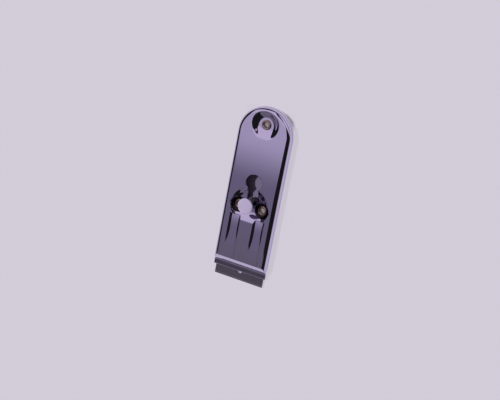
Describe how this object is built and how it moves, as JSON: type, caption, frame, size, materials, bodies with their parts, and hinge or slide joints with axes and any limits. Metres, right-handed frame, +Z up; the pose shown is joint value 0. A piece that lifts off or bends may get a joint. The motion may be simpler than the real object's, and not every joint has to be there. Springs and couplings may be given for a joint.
{
  "type": "glass scraper",
  "caption": "Flat metal glass scraper with a round rear end, a straight blade under its stepped nose, and a knob in a keyhole slot that slides the blade in and out.",
  "frame": {"origin": "on the underside, at the middle of the box round the tool with the blade out", "axes": "+Z up through the top cover, -Y out of the blade's edge, +Y to the round rear end, +X to the right seen from behind"},
  "size_m": [0.043, 0.1364, 0.0159],
  "materials": {
    "cover_chrome": "bright chrome plate on pressed steel sheet",
    "base_chrome": "chrome plate, satin inside",
    "rivet_copper": "coppered hollow rivets, dull brown",
    "blade_steel": "hardened strip, dark, with a bright ground edge",
    "carrier_steel": "plain zinc-plated steel",
    "spring_steel": "blued spring strip",
    "knob_steel": "turned steel",
    "cap_satin": "pale satin, almost white"
  },
  "bodies": {
    "housing": {"top_cover": "cover_chrome", "base_shell": "base_chrome", "rear_rivet": "rivet_copper", "left_rivet": "rivet_copper", "right_rivet": "rivet_copper"},
    "carriage": {"blade": "blade_steel", "blade_carrier": "carrier_steel", "blade_stud_left": "carrier_steel", "blade_stud_right": "carrier_steel", "leaf_spring": "spring_steel", "spring_rivet_front": "carrier_steel", "spring_rivet_rear": "carrier_steel"},
    "knob": {"lock_collar": "knob_steel", "knob_post": "knob_steel", "knob_cap": "cap_satin"}
  },
  "joints": [
    {"name": "blade_slide", "type": "slide", "parent": "housing", "child": "carriage", "axis": [0, 1, 0], "range_m": [0, 0.0161]},
    {"name": "knob_press", "type": "slide", "parent": "carriage", "child": "knob", "axis": [0, 0, -1], "range_m": [0, 0.0011], "stiffness_N_per_m": 2500, "deforming": ["leaf_spring"]}
  ]
}
